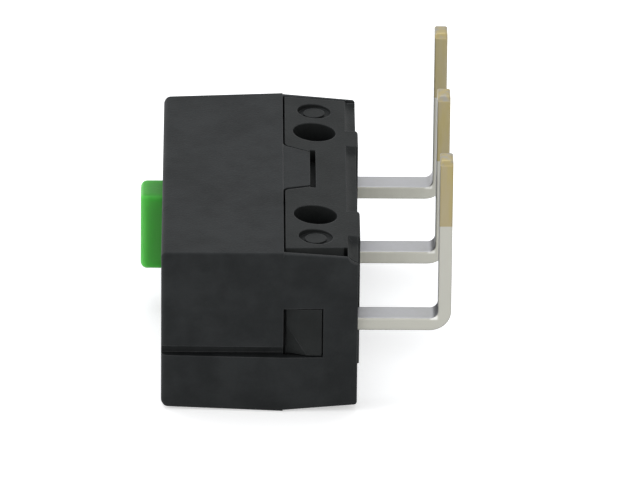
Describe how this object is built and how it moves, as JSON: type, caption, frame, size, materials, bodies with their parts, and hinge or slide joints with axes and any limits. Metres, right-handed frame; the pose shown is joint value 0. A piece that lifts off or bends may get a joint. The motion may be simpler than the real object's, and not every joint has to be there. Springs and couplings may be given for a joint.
{
  "type": "micro switch",
  "caption": "Ultra-subminiature snap-action switch with a pin plunger, two mounting holes through the base and right-angle solder pins.",
  "frame": {"origin": "axis of the mounting hole beside the plunger, in the plane of the side face that the switch lies on", "axes": "+X is the way the plunger is pressed, from the plunger face towards the terminal face; Y runs along the case's length, +Y towards the common terminal; +Z goes through the thickness, the way the pins point"},
  "size_m": [0.0103, 0.0128, 0.0088],
  "materials": {
    "case_plastic": "fine matte moulded thermoplastic",
    "base_plastic": "fine matte moulded thermoplastic",
    "plunger_plastic": "green moulded plastic",
    "terminal_metal": "tin plate over brass",
    "contact_silver": "silver alloy",
    "blade_copper": "rolled beryllium copper strip",
    "lever_brass": "stamped brass",
    "spring_steel": "drawn stainless wire"
  },
  "bodies": {
    "case": {"cover": "case_plastic", "base": "base_plastic", "common_terminal": "terminal_metal", "normally_open_terminal": "terminal_metal", "normally_closed_terminal": "terminal_metal", "normally_open_contact": "contact_silver", "normally_closed_contact": "contact_silver", "snap_spring": "spring_steel"},
    "plunger": {"plunger": "plunger_plastic"},
    "actuating_lever": {"actuating_lever": "lever_brass"},
    "contact_blade": {"contact_blade": "blade_copper", "moving_contact": "contact_silver"}
  },
  "joints": [
    {"name": "plunger_press", "type": "slide", "parent": "case", "child": "plunger", "axis": [1, 0, 0], "range_m": [0, 0.0006], "stiffness_N_per_m": 2000, "deforming": ["snap_spring"]},
    {"name": "lever_fulcrum", "type": "hinge", "parent": "case", "child": "actuating_lever", "pos_m": [-0.00312, 0.0016, 0.0029], "axis": [0, 0, 1], "range_deg": [0, 11.26]},
    {"name": "blade_pivot", "type": "hinge", "parent": "case", "child": "contact_blade", "pos_m": [-0.00301, -0.00225, 0.0029], "axis": [0, 0, 1], "range_deg": [0, 5.73]}
  ],
  "couplings": [
    {"joint": "lever_fulcrum", "follows": "plunger_press", "rad_per_m": 326.82},
    {"joint": "blade_pivot", "follows": "plunger_press", "rad_per_m": 166.19}
  ]
}
